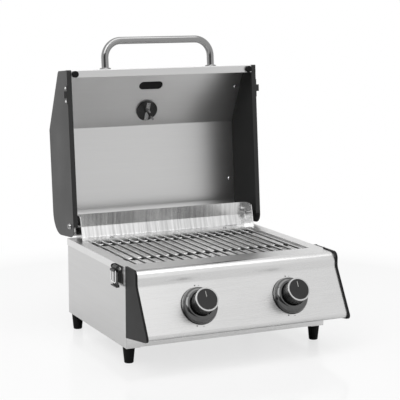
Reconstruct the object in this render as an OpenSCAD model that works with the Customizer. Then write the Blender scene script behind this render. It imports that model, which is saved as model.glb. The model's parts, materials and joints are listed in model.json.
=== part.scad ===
// Portable two-burner table grill, shown with its lid open.
// Millimetres. +X is the user's right, +Y points away from the user, +Z is up.
// The table is at Z = 0, and the open grill is centred on X = 0 and Y = 0.

/* [Box] */
// Width over the deck's side skirts
body_w = 480; // [440:1:560]
// Depth of the box from its front wall to its rear panel
body_d = 358; // [340:1:420]
// Height of the deck above the underside of the box
box_h = 175.5; // [168:0.5:200]
// Thickness of the sheet steel
sheet_t = 1.2; // [0.8:0.1:1.6]
// Height of the skirt folded down round the deck
skirt_h = 15.5; // [10:0.5:20]
// Width of the flange folded in under each side panel
flange_w = 32; // [28:1:40]

/* [Feet] */
// Height of a rubber foot
foot_h = 35.5; // [20:0.5:60]
// Diameter of a foot where it meets the box
foot_top_d = 26; // [20:0.5:30]
// Diameter of a foot on the table
foot_bottom_d = 20; // [14:0.5:30]
// Distance of a foot's centre from the side of the box
foot_inset_x = 15; // [14:0.5:18]
// Distance of a foot's centre from the front or the rear of the box
foot_inset_y = 21; // [15:0.5:40]
// Diameter of a foot's screw
foot_screw_d = 4; // [3:0.5:6]

/* [Deck] */
// Width of the deck strip left and right of the opening
opening_side = 28; // [24:0.5:36]
// Depth of the deck strip in front of the opening
opening_front = 23; // [20:0.5:40]
// Depth of the deck strip behind the opening
opening_rear = 54; // [50:0.5:70]
// Height of the lip folded down round the opening
lip_h = 8; // [4:0.5:9]
// Distance of a deck screw from the middle
deck_screw_x = 146; // [100:1:180]
// Head diameter of a deck screw
deck_screw_d = 9; // [6:0.5:12]

/* [Control panel] */
// How far the deck reaches in front of the box
deck_nose = 31; // [20:0.5:40]
// How far the panel's rounded nose reaches in front of the deck
nose_run = 22; // [21:0.5:30]
// Height of the rounded nose
nose_drop = 30; // [28:0.5:40]
// Radius of the rounded nose
nose_r = 20; // [10:0.5:20]
// Lean of the panel's face from upright, in degrees
face_lean = 30; // [20:0.5:40]
// Length of the panel's face
face_len = 119; // [110:0.5:125]
// Radius of the panel's lower edge
face_edge_r = 8; // [4:0.5:12]
// Height of the panel's return above the underside of the box
return_h = 27; // [20:0.5:30]
// Thickness of an end cap
cap_t = 5; // [3:0.5:8]
// How far an end cap stands proud of the panel
cap_proud = 2.6; // [1:0.1:4]

/* [Knobs] */
// Distance of a knob from the middle
knob_x = 107.5; // [90:0.5:130]
// Distance of a knob's axis from the top of the panel's face
knob_drop = 55; // [50:0.5:60]
// Diameter of a knob
knob_d = 50; // [40:0.5:56]
// Height of a knob's front above the panel
knob_h = 46; // [40:0.5:52]
// Gap between the panel and the back of a knob
knob_gap = 7.5; // [6:0.5:10]
// How far a knob pushes in
knob_push = 4; // [2:0.5:5]
// Height of the bright ring round a knob's front
knob_ring_h = 6.5; // [4:0.5:9]
// Diameter of a bezel
bezel_d = 80; // [70:0.5:84]
// Height of a bezel
bezel_h = 17; // [12:0.5:20]
// Diameter of a valve stem
stem_d = 8; // [6:0.5:10]

/* [Burners] */
// Outer diameter of a burner tube
burner_d = 24; // [20:0.5:28]
// Distance of a valve's centre behind the panel's face
valve_back = 27; // [24:0.5:30]
// Diameter of the gas pipe
pipe_d = 12; // [8:0.5:14]
// How far a burner reaches in front of the box
burner_reach = 16; // [10:0.5:20]
// Height of the liner's floor above the underside of the box
liner_lift = 50; // [42:0.5:58]
// Height of the flame tamers' rails above the burners' axis
tamer_rise = 27; // [20:0.5:34]
// Width of a flame tamer
tamer_w = 104; // [80:1:120]
// Height of a flame tamer
tamer_h = 26; // [18:0.5:30]
// Outer diameter of the gas inlet's thread
inlet_d = 13.16; // [10:0.01:16]

/* [Grate] */
// Distance between long rods
rod_pitch = 22; // [14:0.5:30]
// Diameter of a long rod
rod_d = 5; // [4:0.25:6]
// Diameter of a cross rod
cross_d = 6; // [5:0.25:7]
// Depth of the long rods' axis under the deck's top
rod_sink = 3.5; // [2.5:0.5:6]

/* [Drip tray] */
// Width of the tray
tray_w = 200; // [140:1:300]
// Depth of the tray
tray_d = 266; // [200:1:300]
// Height of the tray's walls
tray_h = 24; // [15:0.5:26]

/* [Lid] */
// Length of the lid's sides from the hinge to the front
lid_len = 357; // [356:0.5:372]
// Distance of the lid's rear wall behind the hinge
lid_back = 25; // [24.5:0.5:28]
// Height of the lid above its rim
lid_h = 139; // [120:1:170]
// Height of the lid's front wall
lid_front_h = 59; // [50:0.5:70]
// Pitch of the lid's sloping front, in degrees
lid_pitch = 30.5; // [25:0.5:36]
// Radius of the lid's upper rear bend
lid_rear_r = 52; // [20:1:60]
// Radius of the lid's other bends
lid_bend_r = 10; // [5:0.5:14]
// Height of the hinge above the deck
hinge_rise = 31.4; // [30:0.1:34]
// Distance of the hinge in front of the rear panel
hinge_inset = 21; // [19:0.5:23]
// Height of the hinge above the lid's rim
rim_drop = 23.5; // [22:0.5:25]
// Angle through which the lid is open, in degrees
lid_open = 95; // [80:1:100]
// Diameter of a hinge bolt where the lid turns on it
hinge_d = 8; // [6:0.5:10]
// Width of the flange folded in along the rim of a lid side
side_flange = 10; // [6:0.5:14]
// Width of the flange folded in along the lid's front rim
front_flange = 17; // [15:0.5:22]
// Height of the rear guard above the deck
guard_h = 55; // [45:0.5:56]
// Distance of a hinge ear from the side of the box
ear_inset = 19; // [16:0.5:22]

/* [Handle] */
// Distance between the handle's legs
handle_w = 270; // [200:1:340]
// Distance of the handle's bar from the lid's front wall
handle_reach = 66; // [55:0.5:80]
// Diameter of the handle's tube
handle_d = 17; // [12:0.5:20]
// Wall of the handle's tube
handle_wall = 1.5; // [1:0.1:3]
// Radius of the handle's bends
handle_bend = 40; // [25:0.5:50]
// Diameter of a rosette
rosette_d = 27; // [24:0.5:34]

/* [Lid fittings] */
// Distance of the thermometer from the lower end of the sloping front
gauge_up = 114; // [100:0.5:120]
// Diameter of the thermometer's case behind the panel
gauge_d = 52; // [40:0.5:56]
// Width of the bezel outside the thermometer's case
gauge_rim = 5; // [3:0.5:8]
// Distance of the slot from the lower end of the sloping front
slot_up = 46; // [40:0.5:50]
// Width of the slot
slot_w = 61; // [40:0.5:80]
// Height of the slot
slot_h = 21; // [14:0.5:26]
// Diameter of a bumper
bumper_d = 15; // [10:0.5:16]

/* [Latches] */
// Distance of a latch behind the box's front wall
latch_back = 35; // [30:0.5:60]
// Width of a latch's base
latch_w = 36; // [34:0.5:44]
// Length of a latch's lever below its pin
lever_len = 41; // [40:0.5:60]
// Diameter of the bail's wire
bail_d = 2.6; // [2:0.1:3]

/* [Hidden] */
$fn = 48;

// Clearances
fit = 0.2;
run = 0.05;
gap = 0.3;
cut = 1;
arc_step = 10;

// Colours
steel = [0.80, 0.80, 0.79];
polished = [0.88, 0.88, 0.88];
black = [0.07, 0.07, 0.07];
dark_paint = [0.13, 0.13, 0.14];
brass = [0.72, 0.58, 0.30];
ceramic = [0.90, 0.89, 0.85];

// Directions on the control panel: out of the face, and up along it
face_out = [0, -cos(face_lean), sin(face_lean)];
face_up = [0, sin(face_lean), cos(face_lean)];

// Lid outline round the hinge, lid closed, as [Y, Z]
lid_front = -lid_len;
lid_rim = -rim_drop;
lid_top = lid_h - rim_drop;
slope_low = [lid_front, lid_front_h - rim_drop];
slope_along = [cos(lid_pitch), sin(lid_pitch)];
slope_out = [-sin(lid_pitch), cos(lid_pitch)];
slope_top = slope_low + slope_along * (lid_top - slope_low[1]) / sin(lid_pitch);
lid_corner_r = 22;

// Profiles turned round an axis, as [radius, height above the seat]
ring_over = 0.6;
ring_w = 2.5;
ring_out = knob_d / 2 + ring_over;
face_r = knob_d / 2 - ring_w;
gauge_top = 12;
gauge_bevel = 1.5;
gauge_rim_r = gauge_d / 2 + gauge_rim;

// Reach of the open grill in front of and behind the middle of its box
nose_dy = body_d / 2 + deck_nose + nose_run;
knob_dy = nose_dy + knob_drop * sin(face_lean);
front_reach = knob_dy + knob_h * cos(face_lean) + ring_out * sin(face_lean);
function open_y(p) = p[0] * cos(lid_open) + p[1] * sin(lid_open);
function open_z(p) = p[1] * cos(lid_open) - p[0] * sin(lid_open);
gauge_at = slope_low + slope_along * gauge_up;
rear_reach = body_d / 2 - hinge_inset + max(
    open_y(gauge_at + slope_out * (gauge_top - gauge_bevel) + slope_along * gauge_rim_r),
    open_y(gauge_at + slope_out * gauge_top + slope_along * (gauge_rim_r - gauge_bevel)));
middle_y = (front_reach - rear_reach) / 2;

// Places in the box
box_z = foot_h;
floor_z = box_z + sheet_t;
deck_z = box_z + box_h;
under_z = deck_z - sheet_t;
half_w = body_w / 2;
side_x = half_w - sheet_t;
inner_x = side_x - sheet_t;
front_y = middle_y - body_d / 2;
rear_y = middle_y + body_d / 2;
foot_x = half_w - foot_inset_x;
foot_ys = [front_y + foot_inset_y, rear_y - foot_inset_y];

// Opening in the deck, and the liner that hangs under it
open_x = half_w - opening_side;
open_y0 = front_y + opening_front;
open_y1 = rear_y - opening_rear;
liner_x = open_x + sheet_t + fit;
liner_y0 = open_y0 - sheet_t - fit;
liner_y1 = open_y1 + sheet_t + fit;
liner_z = box_z + liner_lift;
drain_w = 120;
drain_d = 80;

// Control panel
nose_y = front_y - deck_nose;
face_y = nose_y - nose_run;
face_z = deck_z - nose_drop;
face_end = [face_y - face_len * sin(face_lean), face_z - face_len * cos(face_lean)];
cap_x = half_w - cap_t;
knob_y = face_y - knob_drop * sin(face_lean);
knob_z = face_z - knob_drop * cos(face_lean);

// Gas parts
valve_y = knob_y + valve_back * cos(face_lean);
burner_z = knob_z - valve_back * sin(face_lean);
valve_d = 26;
valve_l = 24;
saddle_h = 7;
burner_wall = 1;
burner_bore = burner_d / 2 - burner_wall;
burner_end_gap = 14;
burner_y0 = front_y - burner_reach;
burner_y1 = liner_y1 - burner_end_gap;
pipe_z = burner_z - valve_d / 2 - saddle_h - pipe_d / 2;
pipe_bend = 20;
supply_x = (liner_x + sheet_t + inner_x) / 2;
nut_t = 12;
tamer_z = burner_z + tamer_rise;
bracket_inset = 12;
bracket_y = burner_y1 - bracket_inset;

// Grate
weld = 0.6;
rod_z = deck_z - rod_sink;
cross_z = rod_z - rod_d / 2 - cross_d / 2 + weld;
ledge_z = cross_z - cross_d / 2 - gap;
ledge_w = 11;
grate_front_gap = 6;
grate_rear_gap = 0.5;
grate_y0 = open_y0 + grate_front_gap;
grate_y1 = open_y1 - grate_rear_gap - rod_d / 2;
rod_bend = 7;
rod_tail = 6;
rods_per_side = floor((open_x - ledge_w - rod_d / 2) / rod_pitch);
cross_inset = 8;
cross_step = 74;
cross_end_gap = 6;
cross_ys = [grate_y0 + cross_inset, grate_y0 + cross_inset + cross_step, grate_y1 - rod_bend - cross_inset];

// Drip tray
tray_wall = 1;
tray_lift = 8;
tray_slack = 2;
tray_z = floor_z + sheet_t + tray_lift;
rail_h = 18;
pull_drop = 4;
pull_rise = 8;
pull_over = 10;
pull_lip = 14;

// Hinge and lid
hinge_y = rear_y - hinge_inset;
hinge_z = deck_z + hinge_rise;
lid_over = 0.5;
lid_x = half_w + lid_over;
lid_inner_x = lid_x - sheet_t;
ear_x = half_w - ear_inset;
ear_t = 1.5;
hinge_thread = 6;
handle_z = (slope_low[1] + lid_rim) / 2;
bumper_h = hinge_rise - rim_drop - gap;

// Latch, measured out from the side panel
latch_y = front_y + latch_back;
latch_ear = 2;
latch_ear_gap = 1.5;
lever_pin_d = 4;
lever_out = 8;
lever_drop = 5;
lever_z = deck_z - lever_drop;
bail_step = 6.5;
bail_drop = 6;
bail_out = lever_out + bail_step;
bail_z = lever_z - bail_drop;
bail_side_gap = 0.7;
wire_gap = 0.6;
keeper_lift = 3;
keeper_plate = 1.5;
keeper_wall = 1.8;
keeper_len = 42;
keeper_hook = 16;
keeper_groove = 4.7;
lid_proud = lid_x - side_x;
catch_out = lid_proud + keeper_plate + keeper_groove / 2 + gap;
catch_z = hinge_z + lid_rim + keeper_lift + bail_d / 2 + wire_gap;
bail_len = norm([bail_out - catch_out, catch_z - bail_z]);
bail_half = latch_w / 2 - latch_ear - latch_ear_gap - bail_d / 2;
lever_half = bail_half - bail_d / 2 - bail_side_gap;

// Outline tools
function unit(v) = v / norm(v);
function turn_by(v, a) = [v[0] * cos(a) - v[1] * sin(a), v[0] * sin(a) + v[1] * cos(a)];
function cross_of(a, b) = a[0] * b[1] - a[1] * b[0];

// Arc of radius r that rounds the corner b between its neighbours a and c
function corner(a, b, c, r) =
    let (to_a = unit(a - b))
    let (to_c = unit(c - b))
    let (half = acos(max(-1, min(1, to_a * to_c))) / 2)
    r <= 0 || half > 89.9 ? [b] :
    let (centre = b + unit(to_a + to_c) * r / sin(half))
    let (start = b + to_a * r / tan(half) - centre)
    let (end = b + to_c * r / tan(half) - centre)
    let (turn = (180 - 2 * half) * sign(cross_of(start, end)))
    let (steps = ceil(abs(turn) / arc_step))
    [for (i = [0:steps]) centre + turn_by(start, turn * i / steps)];

// Closed outline with each corner rounded by its own radius
function rounded(points, radii) =
    let (n = len(points))
    [for (i = [0:n - 1]) each corner(points[(i + n - 1) % n], points[i], points[(i + 1) % n], radii[i])];

// Open line with its inner corners rounded
function rounded_line(points, radii) =
    let (n = len(points))
    [for (i = [0:n - 1])
        each (i == 0 || i == n - 1 ? [points[i]] :
            corner(points[i - 1], points[i], points[i + 1], radii[i]))];

// Open line moved d to its left
function left_of(a, b) = let (v = unit(b - a)) [-v[1], v[0]];
function shifted(points, d) =
    let (n = len(points))
    [for (i = [0:n - 1])
        let (before = left_of(points[max(0, i - 1)], points[max(1, i)]))
        let (after = left_of(points[min(n - 2, i)], points[min(n - 1, i + 1)]))
        points[i] + (before + after) * d / (1 + before * after)];

// Cross-section of a folded sheet, whose thickness lies to the left of the line
function folded(points, radii, t) =
    let (n = len(points))
    let (inner_radii = [for (i = [0:n - 1])
        i == 0 || i == n - 1 || radii[i] <= 0 ? 0 :
        radii[i] - t * sign(cross_of(points[i] - points[i - 1], points[i + 1] - points[i]))])
    let (inner = rounded_line(shifted(points, t), inner_radii))
    concat(rounded_line(points, radii), [for (i = [len(inner) - 1:-1:0]) inner[i]]);

// Box between two corners
module block(low, high) {
    translate(low) cube(high - low);
}

// Outline in [Y, Z], drawn out along X
module along_x(x0, x1, outline) {
    translate([x0, 0, 0]) rotate([90, 0, 90]) linear_extrude(x1 - x0) polygon(outline);
}

// Outline in [X, Z], drawn out along Y
module along_y(y0, y1, outline) {
    translate([0, y1, 0]) rotate([90, 0, 0]) linear_extrude(y1 - y0) polygon(outline);
}

// Round bar that starts at a place and runs along an axis
module bar_x(from, length, d) {
    translate(from) rotate([0, 90, 0]) cylinder(d = d, h = length);
}

module bar_y(from, length, d) {
    translate(from) rotate([-90, 0, 0]) cylinder(d = d, h = length);
}

// Round-ended slot, cut downwards through height h
module slot_hole(w, d, h) {
    for (side = [-1, 1])
        translate([side * (w - d) / 2, 0, 0]) cylinder(d = d, h = h);
    translate([-(w - d) / 2, -d / 2, 0]) cube([w - d, d, h]);
}

module both_sides() {
    for (side = [0, 1])
        mirror([side, 0, 0]) children();
}

// Seats: on the panel's face, on the lid's hinge, and on the lid's sloping front
module on_face(x) {
    translate([x, knob_y, knob_z]) rotate([90 - face_lean, 0, 0]) children();
}

module on_lid() {
    translate([0, hinge_y, hinge_z]) rotate([-lid_open, 0, 0]) children();
}

module on_slope(up) {
    place = slope_low + slope_along * up;
    on_lid() translate([0, place[0], place[1]]) rotate([lid_pitch, 0, 0]) children();
}

// Box panels
module side_panel() {
    color(steel) {
        block([inner_x, front_y, box_z], [side_x, rear_y, under_z]);
        block([side_x - flange_w, front_y, box_z], [side_x, rear_y, floor_z]);
    }
}

module side_panel_left() {
    mirror([1, 0, 0]) foot_drilled() side_panel();
}

module side_panel_right() {
    foot_drilled() side_panel();
}

// Screw holes over the feet
module foot_drilled() {
    difference() {
        children();
        for (x = [-foot_x, foot_x], y = foot_ys)
            translate([x, y, box_z - cut]) cylinder(d = foot_screw_d + 2 * fit, h = 2 * sheet_t + 2 * cut);
    }
}

vent_w = 40;
vent_d = 6;
vent_pitch = 60;
vent_rise = 40;
floor_vent_pitch = 48;
floor_vent_gap = 50;

module rear_panel() {
    tray_half = tray_w / 2 + tray_slack;
    color(steel) difference() {
        block([-inner_x, rear_y - sheet_t, floor_z], [inner_x, rear_y, under_z]);
        block([-tray_half, rear_y - 2 * sheet_t, tray_z - tray_slack],
            [tray_half, rear_y + cut, tray_z + tray_h + tray_slack]);
        for (i = [-2:2])
            translate([i * vent_pitch, rear_y + cut, liner_z + vent_rise])
                rotate([90, 0, 0]) slot_hole(vent_w, vent_d, sheet_t + 2 * cut);
        bar_y([supply_x, rear_y - 2 * sheet_t, pipe_z], 3 * sheet_t, inlet_d + 2 * fit);
    }
}

module floor_pan() {
    color(steel) foot_drilled() difference() {
        block([-inner_x, front_y + sheet_t, floor_z], [inner_x, rear_y - sheet_t, floor_z + sheet_t]);
        for (side = [-1, 1], i = [-2:2])
            translate([side * (tray_w / 2 + floor_vent_gap), middle_y + i * floor_vent_pitch, floor_z - cut])
                slot_hole(vent_w, vent_d, sheet_t + 2 * cut);
    }
}

module front_wall() {
    color(steel) difference() {
        block([-inner_x, front_y, floor_z], [inner_x, front_y + sheet_t, under_z]);
        for (x = [-knob_x, knob_x])
            bar_y([x, front_y - cut, burner_z], sheet_t + 2 * cut, burner_d + 2 * fit);
        bar_y([supply_x, front_y - cut, pipe_z], sheet_t + 2 * cut, pipe_d + 2 * fit);
    }
}

module deck_drilled() {
    difference() {
        children();
        for (x = [-deck_screw_x, deck_screw_x])
            translate([x, deck_screw_y, under_z - cut])
                cylinder(d = deck_screw_d / 2, h = 2 * sheet_t + 2 * cut);
    }
}

deck_screw_back = 13;
deck_screw_y = open_y1 + deck_screw_back;
deck_rear_y = rear_y + sheet_t;

module top_deck() {
    color(steel) deck_drilled() difference() {
        union() {
            block([-half_w, front_y, deck_z - skirt_h], [half_w, deck_rear_y, deck_z]);
            block([-cap_x, nose_y, under_z], [cap_x, front_y + cut, deck_z]);
        }
        difference() {
            block([-side_x, front_y - cut, deck_z - skirt_h - cut], [side_x, rear_y, under_z]);
            block([-open_x - sheet_t, open_y0 - sheet_t, deck_z - lip_h],
                [open_x + sheet_t, open_y1 + sheet_t, deck_z]);
        }
        block([-open_x, open_y0, deck_z - skirt_h - cut], [open_x, open_y1, deck_z + cut]);
    }
}

// Rear guard: folded sheet on the deck, with an ear at each end for the hinge
guard_front_gap = 3;
guard_foot_inset = 12;
guard_crease_inset = 2.5;
guard_crease_share = 0.44;
guard_top_inset = 4.5;
guard_foot_r = 3;
guard_crease_r = 4;
guard_line = [
    [open_y1 + guard_front_gap, deck_z],
    [rear_y - guard_foot_inset, deck_z],
    [rear_y - guard_crease_inset, deck_z + guard_crease_share * guard_h],
    [rear_y - guard_top_inset, deck_z + guard_h]
];
ear_front_gap = 4;
ear_tip_gap = 19;
ear_tip_r = 8;

module rear_guard() {
    ear_front = [open_y1 + ear_front_gap, deck_z];
    ear_tip = [open_y1 + ear_tip_gap, deck_z + guard_h];
    color(polished) deck_drilled() {
        along_x(-ear_x, ear_x, folded(guard_line, [0, guard_foot_r, guard_crease_r, 0], sheet_t));
        difference() {
            both_sides()
                along_x(ear_x - ear_t, ear_x, rounded(
                    [ear_front, guard_line[1], guard_line[2], guard_line[3], ear_tip],
                    [0, guard_foot_r, guard_crease_r, 0, ear_tip_r]));
            bar_x([-half_w, hinge_y, hinge_z], body_w, hinge_thread + 2 * run);
        }
    }
}

module firebox_liner() {
    color(steel) difference() {
        block([-liner_x - sheet_t, liner_y0 - sheet_t, liner_z],
            [liner_x + sheet_t, liner_y1 + sheet_t, under_z]);
        block([-liner_x, liner_y0, liner_z + sheet_t], [liner_x, liner_y1, under_z + cut]);
        block([-drain_w / 2, middle_y - drain_d / 2, liner_z - cut],
            [drain_w / 2, middle_y + drain_d / 2, liner_z + sheet_t + cut]);
        for (x = [-knob_x, knob_x])
            bar_y([x, liner_y0 - sheet_t - cut, burner_z], sheet_t + 2 * cut, burner_d + 2 * fit);
    }
}

// Ledges fixed inside the liner: two carry the grate, two carry the flame tamers
rail_leg = 12;

module liner_ledges() {
    front = liner_y0 + sheet_t;
    rear = liner_y1 - sheet_t;
    color(steel) {
        both_sides() {
            block([liner_x - sheet_t, front, ledge_z - rail_leg], [liner_x, rear, ledge_z]);
            block([liner_x - ledge_w, front, ledge_z - sheet_t], [liner_x, rear, ledge_z]);
        }
        tamer_rail(liner_y0, 1);
        tamer_rail(liner_y1, -1);
    }
}

module tamer_rail(wall_y, inward) {
    reach = liner_x - 2 * sheet_t;
    translate([0, wall_y, tamer_z]) mirror([0, inward < 0 ? 1 : 0, 0]) {
        block([-reach, 0, -rail_leg], [reach, sheet_t, 0]);
        block([-reach, 0, -sheet_t], [reach, rail_leg, 0]);
    }
}

// Control panel: rounded nose, sloping face, rounded lower edge and a return to the box
panel_line = [
    [nose_y, deck_z], [face_y, deck_z], [face_y, face_z], face_end, [front_y, box_z + return_h]
];
stem_slack = 3;

module control_panel() {
    color(steel) difference() {
        along_x(-cap_x, cap_x, folded(panel_line, [0, nose_r, nose_r, face_edge_r, 0], sheet_t));
        block([-half_w, front_y, box_z], [half_w, rear_y, deck_z]);
        for (x = [-knob_x, knob_x])
            on_face(x) translate([0, 0, -sheet_t - cut])
                cylinder(d = stem_d + 2 * stem_slack, h = sheet_t + 2 * cut);
    }
}

// The caps' upper bend is sharper than the panel's
cap_nose_share = 0.7;

module end_cap() {
    outer = shifted(panel_line, -cap_proud);
    points = [
        [front_y, outer[0][1]], outer[1], outer[2], outer[3], [front_y, outer[4][1]]
    ];
    color(black) along_x(cap_x, half_w,
        rounded(points, [0, cap_nose_share * nose_r, nose_r, face_edge_r, 0]));
}

module end_cap_left() {
    mirror([1, 0, 0]) end_cap();
}

module end_cap_right() {
    end_cap();
}

// Burners: closed tubes with two rows of ports and air windows in front of the box
port_d = 2.2;
port_pitch = 18;
port_lean = 50;
port_start = 30;
port_end = 20;
port_count = floor((burner_y1 - liner_y0 - port_start - port_end) / port_pitch);
burner_end = 1.5;

module burners() {
    color(steel)
        for (x = [-knob_x, knob_x])
            burner(x);
}

module burner(x) {
    difference() {
        bar_y([x, burner_y0, burner_z], burner_y1 - burner_y0, burner_d);
        bar_y([x, burner_y0 - cut, burner_z], burner_y1 - burner_end - burner_y0 + cut, 2 * burner_bore);
        for (i = [0:port_count - 1], lean = [-port_lean, port_lean])
            translate([x, liner_y0 + port_start + i * port_pitch, burner_z]) rotate([0, lean, 0])
                translate([0, 0, burner_bore - cut])
                    cylinder(d = port_d, h = burner_wall + 2 * cut, $fn = 16);
    }
}

module burner_bracket() {
    foot_top = liner_z + sheet_t;
    reach = knob_x + burner_d;
    color(steel) difference() {
        union() {
            block([-reach, bracket_y, foot_top], [reach, bracket_y + ear_t, burner_z]);
            block([-reach, bracket_y, foot_top], [reach, bracket_y + rail_leg, foot_top + ear_t]);
        }
        for (x = [-knob_x, knob_x])
            bar_y([x, bracket_y - cut, burner_z], ear_t + 2 * cut, burner_d + 2 * run);
    }
}

// Flame tamers: folded roofs over the burners
tamer_flat = 9;
tamer_bend_r = 4;
tamer_end_gap = 1;
tamer_hole_d = 8;
tamer_hole_pitch = 36;
tamer_middle_y = (liner_y0 + liner_y1) / 2;

module flame_tamers() {
    half = tamer_w / 2;
    edge_drop = sheet_t * cos(atan(tamer_h / (half - tamer_flat)));
    low = tamer_z + edge_drop;
    line = [[half, low], [tamer_flat, low + tamer_h], [-tamer_flat, low + tamer_h], [-half, low]];
    color(steel)
        for (x = [-knob_x, knob_x])
            translate([x, 0, 0]) difference() {
                along_y(liner_y0 + tamer_end_gap, liner_y1 - tamer_end_gap,
                    folded(line, [0, tamer_bend_r, tamer_bend_r, 0], sheet_t));
                for (side = [-1, 1], i = [-3:3])
                    translate([side * tamer_w / 4, tamer_middle_y + i * tamer_hole_pitch, tamer_z])
                        cylinder(d = tamer_hole_d, h = tamer_h);
            }
}

// Gas pipe: runs under the valves, bends back and passes beside the liner to the rear
pipe_over = 18;
pipe_x0 = -knob_x - pipe_over;
pipe_end_y = rear_y - sheet_t - nut_t;

module gas_manifold() {
    color(brass) {
        bar_x([pipe_x0, valve_y, pipe_z], supply_x - pipe_bend - pipe_x0, pipe_d);
        translate([supply_x - pipe_bend, valve_y + pipe_bend, pipe_z]) rotate([0, 0, -90])
            rotate_extrude(angle = 90) translate([pipe_bend, 0]) circle(d = pipe_d);
        bar_y([supply_x, valve_y + pipe_bend, pipe_z], pipe_end_y - valve_y - pipe_bend, pipe_d);
    }
}

// Valves: body square to the panel, outlet to the burner, saddle on the gas pipe
outlet_d = 9;
outlet_into = 8;
valve_nose_wall = 2.5;
stem_spare = 2;

module gas_valves() {
    color(brass)
        for (x = [-knob_x, knob_x])
            gas_valve(x);
}

module gas_valve(x) {
    difference() {
        union() {
            on_face(x) translate([0, 0, -valve_back - valve_l / 2]) cylinder(d = valve_d, h = valve_l);
            on_face(x) translate([0, 0, -valve_back])
                cylinder(d = stem_d + 2 * valve_nose_wall, h = valve_back - sheet_t - fit);
            bar_y([x, valve_y, burner_z], burner_y0 + outlet_into - valve_y, outlet_d);
            translate([x, valve_y, pipe_z]) cylinder(d = pipe_d, h = burner_z - pipe_z);
        }
        on_face(x) translate([0, 0, -valve_back - knob_push - stem_spare])
            cylinder(d = stem_d + 2 * run, h = valve_back + knob_push + stem_spare);
        bar_x([x - pipe_d, valve_y, pipe_z], 2 * pipe_d, pipe_d + 2 * run);
    }
}

// Spark electrodes: ceramic bodies on the liner's front wall with thin steel tips
electrode_gap = 10;
electrode_rise = 6;
electrode_x = knob_x + burner_d / 2 + electrode_gap;

// Flange, body and tip of an electrode, as [length, diameter]
electrode_steps = [[2, 12], [36, 6], [48, 2]];

module igniter_electrodes() {
    color(ceramic)
        for (side = [-1, 1], step = electrode_steps)
            bar_y([side * electrode_x, liner_y0, burner_z + electrode_rise], step[0], step[1]);
}

inlet_len = 22;
inlet_bore = 7;
inlet_nut_d = 20;
inlet_nut_h = 5;

module inlet_nut(front, h) {
    translate([supply_x, front + h, pipe_z]) rotate([90, 0, 0]) cylinder(d = inlet_nut_d, h = h, $fn = 6);
}

module gas_inlet() {
    color(brass) difference() {
        union() {
            inlet_nut(rear_y - sheet_t - nut_t, nut_t);
            bar_y([supply_x, rear_y - 2 * sheet_t, pipe_z], inlet_len + 2 * sheet_t, inlet_d);
            inlet_nut(rear_y, inlet_nut_h);
        }
        bar_y([supply_x, rear_y - nut_t - 2 * sheet_t, pipe_z], inlet_len + nut_t + 4 * sheet_t, inlet_bore);
    }
}

// Drip tray and the rails it slides on
rail_x = tray_w / 2 + gap;

module tray_rails() {
    pan_z = floor_z + sheet_t;
    ledge = 9;
    color(steel) both_sides() {
        block([rail_x, rear_y - tray_d, pan_z], [rail_x + sheet_t, rear_y - 2 * sheet_t, pan_z + rail_h]);
        block([rail_x - ledge, rear_y - tray_d, tray_z - gap - sheet_t],
            [rail_x + sheet_t, rear_y - 2 * sheet_t, tray_z - gap]);
        block([rail_x, rear_y - tray_d, pan_z], [rail_x + ledge, rear_y - 2 * sheet_t, pan_z + sheet_t]);
    }
}

module drip_tray() {
    half = tray_w / 2;
    pull_y = rear_y + sheet_t + gap;
    pull_z = tray_z - pull_drop;
    color(steel) difference() {
        union() {
            block([-half, pull_y - tray_d, tray_z], [half, pull_y, tray_z + tray_h]);
            block([-half - pull_over, pull_y, pull_z],
                [half + pull_over, pull_y + ear_t, tray_z + tray_h + pull_rise]);
            block([-half / 2, pull_y, pull_z], [half / 2, pull_y + pull_lip, pull_z + ear_t]);
        }
        block([-half + tray_wall, pull_y - tray_d + tray_wall, tray_z + tray_wall],
            [half - tray_wall, pull_y - tray_wall, tray_z + tray_h + cut]);
    }
}

// Feet and their screws
foot_bore = 20;
foot_edge = 1;
foot_collar = 4;
foot_head_h = 3;

module rubber_feet() {
    top_r = foot_top_d / 2;
    low_r = foot_bottom_d / 2;
    bore_r = foot_screw_d / 2 + run;
    color(black)
        for (x = [-foot_x, foot_x], y = foot_ys)
            translate([x, y, 0]) rotate_extrude() polygon([
                [0, 0], [low_r - foot_edge, 0], [low_r, foot_edge],
                [top_r, foot_h - foot_collar], [top_r, foot_h],
                [bore_r, foot_h], [bore_r, foot_h - foot_bore], [0, foot_h - foot_bore]
            ]);
}

module foot_screws() {
    seat = floor_z + sheet_t;
    low = foot_h - foot_bore + cut;
    color(steel)
        for (x = [-foot_x, foot_x], y = foot_ys)
            translate([x, y, 0]) {
                translate([0, 0, low]) cylinder(d = foot_screw_d, h = seat - low + cut);
                translate([0, 0, seat]) cylinder(d = 2.2 * foot_screw_d, h = foot_head_h);
            }
}

// Knobs: domed bezel, stem, body, bright ring and dark face
bezel_gap = 1.6;
bezel_in = knob_d / 2 + bezel_gap;
bezel_wall = 1.5;
bezel_base = 2.5;

function dome(base, rise, low, high) =
    [for (a = [0:arc_step:90]) [base + low * cos(a), rise + high * sin(a)]];

module knob_bezels() {
    out = bezel_d / 2;
    shoulder = bezel_in + bezel_wall;
    rise = bezel_h - bezel_base;
    outer = dome(shoulder, bezel_base, out - shoulder, rise);
    inner = dome(shoulder, bezel_base, out - shoulder - bezel_wall, rise - bezel_wall);
    color(polished)
        for (x = [-knob_x, knob_x])
            on_face(x) rotate_extrude() polygon(concat(
                [[out - bezel_wall, 0], [out, 0]], outer,
                [[bezel_in, bezel_h], [bezel_in, bezel_h - bezel_wall]],
                [for (i = [len(inner) - 1:-1:0]) inner[i]]));
}

stem_into = 20;
stem_top = knob_gap + stem_into;

module valve_stem(x) {
    color(steel) on_face(x) translate([0, 0, -valve_back]) cylinder(d = stem_d, h = valve_back + stem_top);
}

module valve_stem_left() {
    valve_stem(-knob_x);
}

module valve_stem_right() {
    valve_stem(knob_x);
}

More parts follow.
